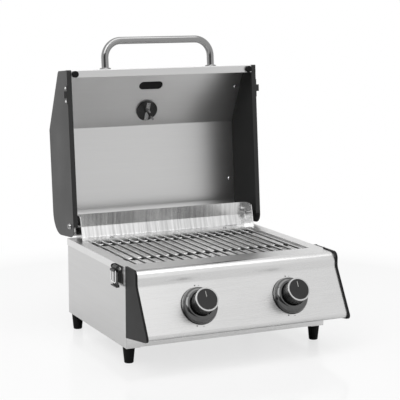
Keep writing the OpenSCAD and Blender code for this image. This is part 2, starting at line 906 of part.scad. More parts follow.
ring_z = knob_h - knob_ring_h;
ring_edge = 0.8;
knob_edge = 1;

module knob(x) {
    r = knob_d / 2;
    bore_r = stem_d / 2 + run;
    bore_z = stem_top + gap;
    color(black) on_face(x) rotate_extrude() polygon([
        [bore_r, knob_gap], [r - knob_edge, knob_gap], [r, knob_gap + knob_edge],
        [r, ring_z], [0, ring_z], [0, bore_z], [bore_r, bore_z]
    ]);
}

module knob_left() {
    knob(-knob_x);
}

module knob_right() {
    knob(knob_x);
}

module knob_ring(x) {
    inner = face_r + run;
    middle = (ring_z + knob_h) / 2;
    color(polished) on_face(x) rotate_extrude() polygon([
        [inner, ring_z], [ring_out - ring_edge, ring_z], [ring_out, ring_z + ring_edge],
        [ring_out, middle - ring_edge], [ring_out - ring_edge, middle], [ring_out, middle + ring_edge],
        [ring_out, knob_h], [inner, knob_h]
    ]);
}

module knob_ring_left() {
    knob_ring(-knob_x);
}

module knob_ring_right() {
    knob_ring(knob_x);
}

pointer_w = 1.6;
pointer_start = 0.2 * face_r;
pointer_len = 0.6 * face_r;
face_recess = 0.8;

module knob_face(x) {
    face_t = knob_ring_h - face_recess;
    color(dark_paint) on_face(x) {
        translate([0, 0, ring_z]) cylinder(r = face_r, h = face_t);
        translate([-pointer_w / 2, pointer_start, ring_z])
            cube([pointer_w, pointer_len, face_t + face_recess / 2]);
    }
}

module knob_face_left() {
    knob_face(-knob_x);
}

module knob_face_right() {
    knob_face(knob_x);
}

deck_screw_tail = 6;
deck_head_h = 2.4;

// Crossed slots for a driver, cut down from a head's top at the origin
recess_depth = 1.6;
recess_len_share = 0.5;
recess_w_share = 0.14;

module cross_recess(head_d) {
    length = recess_len_share * head_d;
    w = recess_w_share * head_d;
    for (turn = [0, 90])
        rotate([0, 0, turn]) block([-length / 2, -w / 2, -recess_depth], [length / 2, w / 2, cut]);
}

module deck_screws() {
    seat = deck_z + sheet_t;
    low = under_z - deck_screw_tail;
    color(steel)
        for (x = [-deck_screw_x, deck_screw_x])
            translate([x, deck_screw_y, 0]) difference() {
                union() {
                    translate([0, 0, low]) cylinder(d = deck_screw_d / 2 - 2 * run, h = seat - low + cut);
                    translate([0, 0, seat])
                        cylinder(d1 = deck_screw_d, d2 = 0.7 * deck_screw_d, h = deck_head_h);
                }
                translate([0, 0, seat + deck_head_h]) cross_recess(deck_screw_d);
            }
}

// Cooking grate: long rods with bent rear ends, welded on cross rods
module cooking_grate() {
    cross_half = open_x - cross_end_gap;
    color(steel) {
        for (i = [-rods_per_side:rods_per_side])
            translate([i * rod_pitch, 0, 0]) grate_rod();
        for (y = cross_ys)
            bar_x([-cross_half, y, cross_z], 2 * cross_half, cross_d);
    }
}

module grate_rod() {
    bend_y = grate_y1 - rod_bend;
    bar_y([0, grate_y0, rod_z], bend_y - grate_y0, rod_d);
    translate([0, bend_y, rod_z - rod_bend]) rotate([0, -90, 0])
        rotate_extrude(angle = 90) translate([rod_bend, 0]) circle(d = rod_d);
    translate([0, grate_y1, rod_z - rod_bend - rod_tail]) cylinder(d = rod_d, h = rod_tail);
}

// Latches: drawn for the right-hand side and mirrored for the left
module latch_part() {
    translate([side_x, latch_y, 0]) children();
}

latch_plate = 2;
latch_len = 33;
latch_ear_r = 5;
latch_ear_drop = 8;
latch_foot_z = deck_z - skirt_h - fit;
latch_low_z = lever_z - latch_len;

module latch_base() {
    half = latch_w / 2;
    color(black) latch_part() difference() {
        union() {
            block([sheet_t, -half, latch_low_z], [sheet_t + latch_plate, half, deck_z]);
            block([0, -half, latch_low_z], [sheet_t, half, latch_foot_z]);
            for (side = [-1, 1])
                translate([0, side * (half - latch_ear / 2), 0]) {
                    block([sheet_t, -latch_ear / 2, lever_z - latch_ear_drop],
                        [lever_out, latch_ear / 2, lever_z + latch_ear_r]);
                    bar_y([lever_out, -latch_ear / 2, lever_z], latch_ear, 2 * latch_ear_r);
                }
        }
        bar_y([lever_out, -half - cut, lever_z], latch_w + 2 * cut, lever_pin_d + 2 * run);
    }
}

module latch_bases() {
    both_sides() latch_base();
}

pin_head_d = 7;
pin_head_h = 1.5;

module latch_pins() {
    half = latch_w / 2;
    color(steel) both_sides() latch_part() {
        bar_y([lever_out, -half, lever_z], latch_w, lever_pin_d);
        for (y = [-half - pin_head_h, half])
            bar_y([lever_out, y, lever_z], pin_head_h, pin_head_d);
    }
}

// Lever: hub on the pin, lugs for the bail, and a plate that hangs in front of the base
lever_plate = 2.5;
lever_back = lever_out - lever_plate / 2;
lever_front = lever_back + lever_plate;
lever_lip = 5;
lever_wide = latch_w / 2 - latch_ear;
hub_wall = 2.5;
lug_wall = 2;
grip_gap = 4;

module latch_lever() {
    low = lever_z - lever_len;
    shoulder = bail_z - bail_len - grip_gap;
    lug_r = bail_d / 2 + lug_wall;
    color(black) latch_part() difference() {
        union() {
            bar_y([lever_out, -lever_half, lever_z], 2 * lever_half, lever_pin_d + 2 * hub_wall);
            block([lever_back, -lever_half, shoulder - cut], [lever_front, lever_half, lever_z]);
            bar_y([bail_out, -lever_half, bail_z], 2 * lever_half, 2 * lug_r);
            block([lever_out, -lever_half, bail_z - lug_r], [bail_out, lever_half, bail_z + lug_r]);
            block([lever_back, -lever_wide, low], [lever_front, lever_wide, shoulder]);
            block([lever_back, -lever_wide, low], [lever_front + lever_lip, lever_wide, low + lever_plate]);
        }
        bar_y([lever_out, -latch_w, lever_z], 2 * latch_w, lever_pin_d + 2 * run);
        bar_y([bail_out, -latch_w, bail_z], 2 * latch_w, bail_d + 2 * run);
    }
}

module latch_lever_left() {
    mirror([1, 0, 0]) latch_lever();
}

module latch_lever_right() {
    latch_lever();
}

// Bail: closed wire loop that hangs from the lever
bail_r = 4;

module latch_bail() {
    low = bail_z - bail_len;
    color(polished) latch_part() translate([bail_out, 0, 0]) {
        bar_y([0, -bail_half + bail_r, low], 2 * (bail_half - bail_r), bail_d);
        bar_y([0, -bail_half, bail_z], 2 * bail_half, bail_d);
        for (side = [-1, 1]) {
            translate([0, side * bail_half, low + bail_r]) cylinder(d = bail_d, h = bail_len - bail_r);
            translate([0, side * bail_half, bail_z]) sphere(d = bail_d);
            translate([0, side * (bail_half - bail_r), low + bail_r]) rotate([0, 90, 0])
                rotate([0, 0, side > 0 ? 0 : -90])
                    rotate_extrude(angle = 90) translate([bail_r, 0]) circle(d = bail_d);
        }
    }
}

module latch_bail_left() {
    mirror([1, 0, 0]) latch_bail();
}

module latch_bail_right() {
    latch_bail();
}

// Keepers: riveted plates with a hook for the bail, on the lid's sides
keeper_rivet_inset = 6;
keeper_rivet_y = keeper_len / 2 - keeper_rivet_inset;
keeper_h = 15;
keeper_tip = 5;
keeper_y = latch_y - hinge_y;
keeper_low = lid_rim + keeper_lift - keeper_wall - wire_gap;

module latch_keepers() {
    hook_out = keeper_plate + keeper_groove;
    color(black) on_lid() both_sides() translate([lid_x, keeper_y, keeper_low]) {
        block([0, -keeper_len / 2, 0], [keeper_plate, keeper_len / 2, keeper_h]);
        block([0, -keeper_hook / 2, 0], [hook_out + keeper_wall, keeper_hook / 2, keeper_wall]);
        block([hook_out, -keeper_hook / 2, 0],
            [hook_out + keeper_wall, keeper_hook / 2, keeper_wall + keeper_tip]);
    }
}

module keeper_rivets() {
    color(polished) on_lid() both_sides()
        for (side = [-1, 1])
            translate([lid_x + keeper_plate, keeper_y + side * keeper_rivet_y, keeper_low + keeper_h / 2])
                rotate([0, 90, 0]) cylinder(d1 = 1.6 * rivet_d, d2 = rivet_d, h = rivet_h);
}

// Lid shell: one folded sheet from the rear wall to the flange along the front rim
shell_gap = 3;
rim_r = 2;
shell_line = [
    [lid_back, lid_back - shell_gap], [lid_back, lid_top], slope_top, slope_low,
    [lid_front, lid_rim], [lid_front + front_flange, lid_rim]
];
shell_radii = [0, lid_rear_r, lid_bend_r, lid_bend_r, rim_r, 0];
rivet_d = 4;
rivet_h = 1.6;
rivet_inset = 12;
rivet_x = lid_inner_x - rivet_inset;
slope_rivet_up = 57;
top_rivet_y = -78;

module lid_shell() {
    color(steel) difference() {
        on_lid() along_x(-lid_inner_x, lid_inner_x, folded(shell_line, shell_radii, sheet_t));
        on_slope(gauge_up) translate([0, 0, -sheet_t - cut])
            cylinder(d = gauge_d + 2 * fit, h = sheet_t + 2 * cut);
        on_slope(slot_up) translate([0, 0, -sheet_t - cut]) slot_hole(slot_w, slot_h, sheet_t + 2 * cut);
        on_lid()
            for (x = [-handle_w / 2, handle_w / 2])
                bar_y([x, lid_front - cut, handle_z], sheet_t + 2 * cut, handle_screw_d + 2 * fit);
        at_lid_rivets() translate([0, 0, -sheet_t - cut])
            cylinder(d = rivet_d + 2 * run, h = sheet_t + 2 * cut);
    }
}

// Rivet places on the shell: on the sloping front and on the top, near each side
module at_lid_rivets() {
    for (x = [-rivet_x, rivet_x]) {
        on_slope(slope_rivet_up) translate([x, 0, 0]) children();
        on_lid() translate([x, top_rivet_y, lid_top]) children();
    }
}

// Lid side: plate that closes the shell's end, with a flange folded in along the rim
module lid_side() {
    outline = rounded(
        [[lid_back, lid_rim], [lid_back, lid_top], slope_top, slope_low, [lid_front, lid_rim]],
        [lid_corner_r, lid_rear_r, lid_bend_r, lid_bend_r, rim_r]);
    color(dark_paint) on_lid() difference() {
        union() {
            along_x(lid_inner_x, lid_x, outline);
            block([lid_inner_x - side_flange, lid_front + front_flange, lid_rim],
                [lid_inner_x, lid_back - lid_corner_r - rim_r, lid_rim + sheet_t]);
        }
        bar_x([lid_inner_x - cut, 0, 0], sheet_t + 2 * cut, hinge_d + 2 * run);
    }
}

module lid_side_left() {
    mirror([1, 0, 0]) lid_side();
}

module lid_side_right() {
    lid_side();
}

// Hinge bolts are screwed to the ears, and the lid's sides turn on their shoulders
hinge_head_d = 15;
hinge_head_h = 4;
hinge_socket_d = 5.8;
hinge_socket_h = 2.6;
hinge_nut_h = 5;
hinge_nut_d = 11.5;
hinge_spare = 2;

module hinge_bolts() {
    shoulder = lid_x + gap - ear_x;
    tail = ear_t + hinge_nut_h + hinge_spare;
    socket_x = lid_x + gap + hinge_head_h - hinge_socket_h;
    color(polished) both_sides() difference() {
        union() {
            bar_x([ear_x, hinge_y, hinge_z], shoulder, hinge_d);
            bar_x([ear_x - tail, hinge_y, hinge_z], tail, hinge_thread);
            translate([lid_x + gap, hinge_y, hinge_z]) rotate([0, 90, 0])
                cylinder(d1 = hinge_head_d, d2 = 0.7 * hinge_head_d, h = hinge_head_h);
        }
        translate([socket_x, hinge_y, hinge_z]) rotate([0, 90, 0])
            cylinder(d = hinge_socket_d, h = hinge_socket_h + cut, $fn = 6);
    }
}

module hinge_nuts() {
    color(polished) both_sides() difference() {
        translate([ear_x - ear_t - hinge_nut_h, hinge_y, hinge_z]) rotate([0, 90, 0])
            cylinder(d = hinge_nut_d, h = hinge_nut_h, $fn = 6);
        bar_x([0, hinge_y, hinge_z], half_w, hinge_thread + 2 * run);
    }
}

// Handle: bent tube on rosettes, held by screws from inside the lid
handle_screw_d = 6;
handle_head_h = 4;
handle_insert = 14;
rosette_h = 4;
rosette_edge = 2;

module handle_leg(x, d, from, length) {
    translate([x, from, handle_z]) rotate([90, 0, 0]) cylinder(d = d, h = length);
}

module handle_shape(d) {
    leg = handle_reach - handle_bend;
    bar_half = handle_w / 2 - handle_bend;
    bend_y = lid_front - leg;
    both_sides() {
        handle_leg(handle_w / 2, d, lid_front - rosette_h, leg - rosette_h);
        translate([bar_half, bend_y, handle_z]) rotate([0, 0, -90])
            rotate_extrude(angle = 90) translate([handle_bend, 0]) circle(d = d);
    }
    bar_x([-bar_half, lid_front - handle_reach, handle_z], 2 * bar_half, d);
}

module lid_handle() {
    color(polished) on_lid() difference() {
        handle_shape(handle_d);
        handle_shape(handle_d - 2 * handle_wall);
    }
}

module handle_rosettes() {
    r = rosette_d / 2;
    color(polished) on_lid()
        for (x = [-handle_w / 2, handle_w / 2])
            translate([x, lid_front, handle_z]) rotate([90, 0, 0]) difference() {
                rotate_extrude() polygon([
                    [0, 0], [r, 0], [r, rosette_h - rosette_edge],
                    [r - rosette_edge, rosette_h], [0, rosette_h]
                ]);
                translate([0, 0, -cut]) cylinder(d = handle_screw_d + 2 * fit, h = rosette_h + 2 * cut);
            }
}

module handle_screws() {
    bore = handle_d - 2 * handle_wall;
    head_d = 2 * handle_screw_d;
    head_y = lid_front + sheet_t + handle_head_h;
    color(steel) on_lid()
        for (x = [-handle_w / 2, handle_w / 2])
            difference() {
                union() {
                    handle_leg(x, handle_screw_d, lid_front + sheet_t + cut, sheet_t + rosette_h + 2 * cut);
                    handle_leg(x, bore - 2 * run, lid_front - rosette_h, handle_insert);
                    handle_leg(x, head_d, head_y, handle_head_h);
                }
                translate([x, head_y, handle_z]) rotate([-90, 0, 0]) cross_recess(head_d);
            }
}

// Thermometer in the lid's sloping front: heights run out from the panel
case_back = 7;
case_wall = 1.2;
dial_sink = 5;
dial_t = 1.5;
dial_z = gauge_top - dial_sink;
lens_sink = 2.5;
lens_t = 1.5;
lens_lip = 1;
lens_z = gauge_top - lens_sink;
lens_r = gauge_d / 2 + 0.6 * gauge_rim;
needle_z = dial_z + gap;
needle_t = 1;
needle_d = 3;
needle_w = 1.4;
needle_tail = 5;
needle_gap = 6;
needle_rest = 135;
arbor_z = -case_back + case_wall;
probe_d = 6;
probe_len = 38;
probe_nut_h = 5;
probe_nut_d = 13;
bracket_t = 1.6;
bracket_w = 10;
bracket_end_gap = 2;

module thermometer_case() {
    r = gauge_d / 2;
    inner = r - case_wall;
    arbor_r = needle_d / 2 + run;
    color(black) on_slope(gauge_up) rotate_extrude() polygon([
        [0, -case_back], [r, -case_back], [r, 0], [gauge_rim_r, 0],
        [gauge_rim_r, gauge_top - gauge_bevel], [gauge_rim_r - gauge_bevel, gauge_top],
        [inner - lens_lip, gauge_top], [inner - lens_lip, lens_z + lens_t],
        [lens_r, lens_z + lens_t], [lens_r, lens_z], [inner, lens_z],
        [inner, dial_z - dial_t], [arbor_r, dial_z - dial_t], [arbor_r, arbor_z], [0, arbor_z]
    ]);
}

module thermometer_dial() {
    color("white") on_slope(gauge_up) translate([0, 0, dial_z - dial_t]) difference() {
        cylinder(r = gauge_d / 2 - case_wall - run, h = dial_t);
        translate([0, 0, -cut]) cylinder(d = needle_d + 2 * run, h = dial_t + 2 * cut);
    }
}

module thermometer_lens() {
    color([0.9, 0.95, 0.95, 0.3]) on_slope(gauge_up) translate([0, 0, lens_z])
        cylinder(r = lens_r - run, h = lens_t);
}

module thermometer_needle() {
    length = gauge_d / 2 - needle_gap;
    low = arbor_z + gap;
    color("red") on_slope(gauge_up) {
        translate([0, 0, low]) cylinder(d = needle_d, h = needle_z + needle_t - low);
        translate([0, 0, needle_z]) cylinder(d = 2.4 * needle_d, h = needle_t);
        rotate([0, 0, needle_rest]) translate([-needle_w / 2, -needle_tail, needle_z])
            cube([needle_w, length + needle_tail, needle_t]);
    }
}

module thermometer_bracket() {
    half = gauge_d / 2 - bracket_end_gap;
    color(polished) on_slope(gauge_up) translate([0, 0, -case_back - bracket_t]) difference() {
        translate([-bracket_w / 2, -half, 0]) cube([bracket_w, 2 * half, bracket_t]);
        translate([0, 0, -cut]) cylinder(d = probe_d + 2 * run, h = bracket_t + 2 * cut);
    }
}

module thermometer_probe() {
    color(polished) on_slope(gauge_up) {
        translate([0, 0, -case_back - probe_len]) cylinder(d = probe_d, h = probe_len);
        translate([0, 0, -case_back - bracket_t - probe_nut_h])
            cylinder(d = probe_nut_d, h = probe_nut_h, $fn = 6);
    }
}

// Bare plate over the slot, outside the lid
badge_t = 2.5;
badge_over = 8;

module badge_plate() {
    color(black) on_slope(slot_up) slot_hole(slot_w + 2 * badge_over, slot_h + 2 * badge_over, badge_t);
}

bumper_gap = 1;
bumper_edge = 1.5;

module lid_bumpers() {
    r = bumper_d / 2;
    x = lid_inner_x - side_flange - r - bumper_gap;
    color(black) on_lid()
        for (side = [-1, 1])
            translate([side * x, lid_front + front_flange / 2 + bumper_gap, lid_rim]) rotate([180, 0, 0])
                rotate_extrude() polygon([
                    [0, 0], [r, 0], [r, bumper_h - bumper_edge], [r - bumper_edge, bumper_h], [0, bumper_h]
                ]);
}

module lid_rivets() {
    color(polished) at_lid_rivets() {
        translate([0, 0, -sheet_t - cut]) cylinder(d = rivet_d, h = sheet_t + 2 * cut);
        translate([0, 0, -sheet_t - rivet_h]) cylinder(d1 = rivet_d, d2 = 2 * rivet_d, h = rivet_h);
        cylinder(d1 = 2 * rivet_d, d2 = rivet_d, h = rivet_h);
    }
}

side_panel_left();
side_panel_right();
rear_panel();
floor_pan();
front_wall();
top_deck();
rear_guard();
firebox_liner();
liner_ledges();
control_panel();
end_cap_left();
end_cap_right();
burners();
burner_bracket();
flame_tamers();
gas_manifold();
gas_valves();
igniter_electrodes();
gas_inlet();
tray_rails();
rubber_feet();
foot_screws();
knob_bezels();
deck_screws();
latch_bases();
latch_pins();
hinge_bolts();
hinge_nuts();
cooking_grate();
drip_tray();
valve_stem_left();
knob_left();
knob_ring_left();
knob_face_left();
valve_stem_right();
knob_right();
knob_ring_right();
knob_face_right();
latch_lever_left();
latch_bail_left();
latch_lever_right();
latch_bail_right();
lid_shell();
lid_side_left();
lid_side_right();
lid_handle();
handle_rosettes();
handle_screws();
thermometer_case();
thermometer_dial();
thermometer_lens();
thermometer_needle();
thermometer_bracket();
thermometer_probe();
badge_plate();
lid_bumpers();
latch_keepers();
keeper_rivets();
lid_rivets();
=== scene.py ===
import json
import math

import bmesh
import bpy
from mathutils import Matrix, Vector


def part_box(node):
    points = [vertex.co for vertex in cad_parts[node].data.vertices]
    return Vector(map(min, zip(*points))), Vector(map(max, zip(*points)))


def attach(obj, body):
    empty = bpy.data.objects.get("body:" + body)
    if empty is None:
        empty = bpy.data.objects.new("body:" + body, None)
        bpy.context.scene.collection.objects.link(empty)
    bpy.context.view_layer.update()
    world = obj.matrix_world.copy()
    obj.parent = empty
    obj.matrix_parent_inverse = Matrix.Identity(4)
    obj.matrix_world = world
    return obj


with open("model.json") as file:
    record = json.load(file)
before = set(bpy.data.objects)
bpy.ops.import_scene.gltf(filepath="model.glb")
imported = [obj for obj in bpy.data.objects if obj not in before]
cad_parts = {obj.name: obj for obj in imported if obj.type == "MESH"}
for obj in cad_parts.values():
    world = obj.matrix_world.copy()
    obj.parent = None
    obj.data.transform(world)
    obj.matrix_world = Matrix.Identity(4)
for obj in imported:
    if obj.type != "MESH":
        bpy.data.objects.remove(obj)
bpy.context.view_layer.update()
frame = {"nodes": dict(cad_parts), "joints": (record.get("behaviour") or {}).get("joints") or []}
nodes = frame["nodes"]
joints = {joint["name"]: joint for joint in frame["joints"]}
scene = bpy.context.scene
MM = 0.001
RIGHT = Vector((1, 0, 0))
SIDES = ("left", "right")
MERGE_DISTANCE = 0.01 * MM


# Camera, fitted to the photograph's frame
CAMERA_PLACE = Vector((-1.27675, -2.75545, 0.80651))
CAMERA_BACK = Vector((-0.41823, -0.89399, 0.16074))
CAMERA_LENS = 122.63
SENSOR_WIDTH = 36
NEAREST_SEEN = 0.05
FURTHEST_SEEN = 60


def aimed(name, data, place, way):
    """Camera or lamp at a place, which looks along a direction."""
    thing = bpy.data.objects.new(name, data)
    thing.location = place
    thing.rotation_mode = "QUATERNION"
    thing.rotation_quaternion = way.to_track_quat("-Z", "Y")
    scene.collection.objects.link(thing)
    return thing


camera_data = bpy.data.cameras.new("camera")
camera_data.lens = CAMERA_LENS
camera_data.sensor_width = SENSOR_WIDTH
camera_data.clip_start = NEAREST_SEEN
camera_data.clip_end = FURTHEST_SEEN
scene.camera = aimed("camera", camera_data, CAMERA_PLACE, -CAMERA_BACK)


# Short calls for shader nodes
class Tree:
    """A node tree, with calls that add and join its nodes."""

    def __init__(self, tree):
        self.tree = tree

    def add(self, kind, links=None, settings=None, **values):
        """New node with its linked inputs, its own settings, and plain values for inputs by name."""
        node = self.tree.nodes.new(kind)
        for name, value in (settings or {}).items():
            setattr(node, name, value)
        for name, value in values.items():
            node.inputs[name.replace("_", " ")].default_value = value
        for name, source in (links or {}).items():
            self.join(source, node.inputs[name])
        return node

    def join(self, source, target):
        self.tree.links.new(source, target)

    def find(self, kind):
        return next(node for node in self.tree.nodes if node.type == kind)

    def combine(self, operation, first, second):
        """Math on two sources, either of which may be a plain number."""
        node = self.add("ShaderNodeMath", settings={"operation": operation})
        for socket, source in zip(node.inputs, (first, second)):
            if isinstance(source, (int, float)):
                socket.default_value = source
            else:
                self.join(source, socket)
        return node.outputs[0]

    def along(self, source, axis):
        """How far a vector goes along an axis."""
        node = self.add("ShaderNodeVectorMath", {0: source}, {"operation": "DOT_PRODUCT"})
        node.inputs[1].default_value = axis
        return node.outputs["Value"]

    def span(self, source, low, high, start=0.3, end=0.7, curve="LINEAR"):
        """A number from low to high, as the source goes from start to end."""
        node = self.add("ShaderNodeMapRange", {"Value": source}, {"interpolation_type": curve},
                        From_Min=start, From_Max=end, To_Min=low, To_Max=high)
        return node.outputs["Result"]


class Look(Tree):
    """A material with its main shader, whose own sockets take the values that are the same all over."""

    def __init__(self, name, **values):
        self.material = bpy.data.materials.new(name)
        self.material.use_nodes = True
        super().__init__(self.material.node_tree)
        self.shader = self.find("BSDF_PRINCIPLED")
        for socket, value in values.items():
            self.shader.inputs[socket.replace("_", " ")].default_value = value

    def drive(self, socket, source):
        self.join(source, self.shader.inputs[socket])

    def coords(self, kind="Object"):
        return self.add("ShaderNodeTexCoord").outputs[kind]

    def axis_of(self, kind, axis):
        """One axis of a surface point's place or normal."""
        return self.add("ShaderNodeSeparateXYZ", {"Vector": self.coords(kind)}).outputs[axis]

    def coords_from(self, centre):
        """Place of a surface point, counted from a centre."""
        node = self.add("ShaderNodeVectorMath", {0: self.coords()}, {"operation": "SUBTRACT"})
        node.inputs[1].default_value = centre
        return node.outputs[0]

    def noise(self, scale, detail=2.0, stretch=(1, 1, 1), roughness=0.5):
        mapping = self.add("ShaderNodeMapping", {"Vector": self.coords()}, Scale=stretch)
        noise = self.add("ShaderNodeTexNoise", {"Vector": mapping.outputs["Vector"]},
                         Scale=scale, Detail=detail, Roughness=roughness)
        return noise.outputs["Fac"]

    def blend(self, *parts):
        """Sum of sources, each times its weight."""
        total, *others = [self.combine("MULTIPLY", source, weight) for source, weight in parts]
        for other in others:
            total = self.combine("ADD", total, other)
        return total

    def ramp(self, source, low, high):
        """Colour between two stops of [place, colour]."""
        node = self.add("ShaderNodeValToRGB", {"Fac": source})
        for element, (place, colour) in zip(node.color_ramp.elements, (low, high)):
            element.position = place
            element.color = (*colour, 1)
        return node.outputs["Color"]

    def bump(self, source, strength, distance):
        node = self.add("ShaderNodeBump", {"Height": source}, Strength=strength, Distance=distance)
        self.drive("Normal", node.outputs["Normal"])


def grey(value, warm=0.0):
    return (value * (1 + warm), value, value * (1 - warm))


def by_axis(axis, value, others):
    """Three numbers: a value on the named axis, and another one on the other two."""
    return [value if letter == axis else others for letter in "XYZ"]


# Materials
# The middle part of a noise, where most of its values are
MIDDLE_LOW = 0.35
MIDDLE_HIGH = 0.65


def brushed(name, tone, along, rough, spread=0.05, anisotropy=0.5, metal=1.0):
    """Brushed stainless: fine lines along one axis, faint bands, and soft clouds where it was handled."""
    look = Look(name, Metallic=metal, Anisotropic=anisotropy)
    lines = look.noise(scale=2200.0, stretch=by_axis(along, 0.012, 1.0))
    bands = look.noise(scale=137.5, stretch=by_axis(along, 0.03, 1.0))
    clouds = look.noise(scale=6.0, detail=3.0)
    mixed = look.blend((lines, 0.45), (bands, 0.2), (clouds, 0.35))
    shade = look.span(mixed, 0.0, 1.0, MIDDLE_LOW, MIDDLE_HIGH)
    darker = grey(tone * (1 - spread), warm=0.004)
    paler = grey(tone * (1 + spread), warm=0.002)
    look.drive("Base Color", look.ramp(shade, (0.0, darker), (1.0, paler)))
    uneven = look.blend((lines, 0.5), (clouds, 0.5))
    look.drive("Roughness", look.span(uneven, *rough, MIDDLE_LOW, MIDDLE_HIGH))
    look.bump(lines, strength=0.05, distance=0.06 * MM)
    grain = look.add("ShaderNodeVectorTransform",
                     settings={"vector_type": "VECTOR", "convert_from": "OBJECT", "convert_to": "WORLD"},
                     Vector=by_axis(along, 1.0, 0.0))
    look.drive("Tangent", grain.outputs["Vector"])
    return look.material


def heated(name, tone, lit_top_tone, rough):
    """Steel rods along Y, with painted light: pale where a face looks up, dark on the sides and underneath.
    """
    look = Look(name, Metallic=1.0)
    lines = look.noise(scale=1200.0, stretch=by_axis("Y", 0.02, 1.0))
    clouds = look.noise(scale=40.0, detail=3.0)
    # Painted light: lighter on the rods' tops and darker on their sides, by the direction each face looks
    painted_top_light = look.span(look.axis_of("Normal", "Z"), 0.0, 1.0, start=0.45, end=0.8)
    shade = look.blend((painted_top_light, 0.8), (lines, 0.1), (clouds, 0.1))
    look.drive("Base Color", look.ramp(shade, (0.1, grey(tone)), (0.9, grey(lit_top_tone))))
    look.drive("Roughness", look.span(clouds, *rough))
    look.bump(lines, strength=0.05, distance=0.06 * MM)
    return look.material


def streaked(name, tone, streak_share, rough):
    """Polished sheet with darker upright streaks, whose tone is a share of the sheet's."""
    look = Look(name, Metallic=1.0)
    upright = by_axis("X", 1.0, 0.03)
    wide = look.noise(scale=150.0, detail=3.0, stretch=upright)
    narrow = look.noise(scale=900.0, stretch=upright)
    shade = look.blend((wide, 0.7), (narrow, 0.3))
    look.drive("Base Color", look.ramp(shade, (0.35, grey(tone * streak_share)), (0.62, grey(tone))))
    look.drive("Roughness", look.span(shade, *rough))
    look.bump(shade, strength=0.14, distance=0.3 * MM)
    return look.material


def polished(name, tone, rough, smear=90.0):
    """Polished metal with faint smears and hairline scratches."""
    look = Look(name, Metallic=1.0)
    smears = look.noise(scale=smear, detail=4.0, roughness=0.6)
    hairs = look.noise(scale=500.0, stretch=by_axis("Y", 0.05, 1.0))
    look.drive("Base Color", look.ramp(smears, (0.3, grey(tone * 0.95)), (0.7, grey(tone))))
    look.drive("Roughness", look.span(smears, *rough))
    look.bump(hairs, strength=0.02, distance=0.1 * MM)
    return look.material


PAINT_WEAR = 0.25
# A point's place times its normal, both along X, from which its face counts as turned inward or outward
INWARD_EDGE = 0.1


def painted(name, tone, rough, peel, peel_depth=0.12, shine=0.4, inside=None):
    """Sprayed or moulded dark surface with a fine peel. Inside is the roughness of faces turned inward."""
    look = Look(name, Specular_IOR_Level=shine)
    patches = look.noise(scale=9.0, detail=4.0)
    grains = look.noise(scale=peel, detail=3.0)
    worn = look.combine("MULTIPLY", patches, grains)
    darker = grey(tone * (1 - PAINT_WEAR))
    paler = grey(tone * (1 + PAINT_WEAR))
    look.drive("Base Color", look.ramp(worn, (0.1, darker), (0.45, paler)))
    surface = look.span(patches, *rough)
    if inside:
        outward = look.combine("MULTIPLY", look.axis_of("Object", "X"), look.axis_of("Normal", "X"))
        sides = look.add("ShaderNodeMapRange", {"Value": outward, "To Max": surface},
                         From_Min=-INWARD_EDGE, From_Max=INWARD_EDGE, To_Min=inside)
        surface = sides.outputs["Result"]
    look.drive("Roughness", surface)
    look.bump(grains, strength=peel_depth, distance=0.3 * MM)
    return look.material


def spun(name, tone, rough, knob):
    """Dark disc with turned rings round a knob's axis."""
    look = Look(name, Metallic=0.35)
    turn = knob.col[2].to_3d().rotation_difference(Vector((0, 0, 1))).to_euler()
    mapping = look.add("ShaderNodeMapping", {"Vector": look.coords_from(knob.translation)}, Rotation=turn)
    rings = look.add("ShaderNodeTexWave", {"Vector": mapping.outputs["Vector"]},
                     {"wave_type": "RINGS", "rings_direction": "Z"}, Scale=260.0, Distortion=0.6, Detail=2.0)
    patches = look.noise(scale=60.0, detail=3.0)
    look.drive("Base Color", look.ramp(patches, (0.3, grey(tone * 0.85)), (0.7, grey(tone * 1.15))))
    look.drive("Roughness", look.span(rings.outputs["Fac"], *rough, start=0.0, end=1.0))
    look.bump(rings.outputs["Fac"], strength=0.05, distance=0.2 * MM)
    return look.material


def banded(name, tone, band_tone, low, high, knob):
    """Bright ring with a black band let into its side, between two heights on a knob's axis."""
    look = Look(name)
    height = look.along(look.coords_from(knob.translation), knob.col[2].to_3d())
    above = look.combine("GREATER_THAN", height, low)
    below = look.combine("LESS_THAN", height, high)
    band = look.combine("MULTIPLY", above, below)
    smears = look.noise(scale=60.0, detail=3.0)
    look.drive("Base Color", look.ramp(band, (0.0, grey(tone)), (1.0, grey(band_tone))))
    look.drive("Metallic", look.span(band, 1.0, 0.0, start=0.0, end=1.0))
    look.drive("Roughness", look.blend((smears, 0.2), (band, 0.15)))
    return look.material


def ceramic_look():
    look = Look("glazed_ceramic", Roughness=0.2)
    specks = look.noise(scale=300.0, detail=3.0)
    look.drive("Base Color", look.ramp(specks, (0.3, (0.78, 0.76, 0.70)), (0.6, (0.88, 0.87, 0.83))))
    look.bump(specks, strength=0.05, distance=0.2 * MM)
    return look.material


def brass_look():
    look = Look("plain_brass", Metallic=1.0)
    patches = look.noise(scale=40.0, detail=4.0)
    look.drive("Base Color", look.ramp(patches, (0.3, (0.50, 0.36, 0.15)), (0.7, (0.72, 0.56, 0.27))))
    look.drive("Roughness", look.span(patches, 0.22, 0.4))
    look.bump(look.noise(scale=900.0), strength=0.05, distance=0.2 * MM)
    return look.material


def glass_look():
    look = Look("clear_glass", Base_Color=(0.96, 0.98, 0.98, 1), IOR=1.45, Transmission_Weight=1.0)
    look.drive("Roughness", look.span(look.noise(scale=25.0, detail=3.0), 0.0, 0.04))
    return look.material


def flat_print(name, colour, rough=0.5):
    """Ink or enamel, a little uneven."""
    look = Look(name, Roughness=rough)
    patches = look.noise(scale=120.0, detail=3.0)
    darker = tuple(0.85 * value for value in colour)
    look.drive("Base Color", look.ramp(patches, (0.3, darker), (0.7, colour)))
    look.bump(look.noise(scale=1500.0), strength=0.05, distance=0.1 * MM)
    return look.material


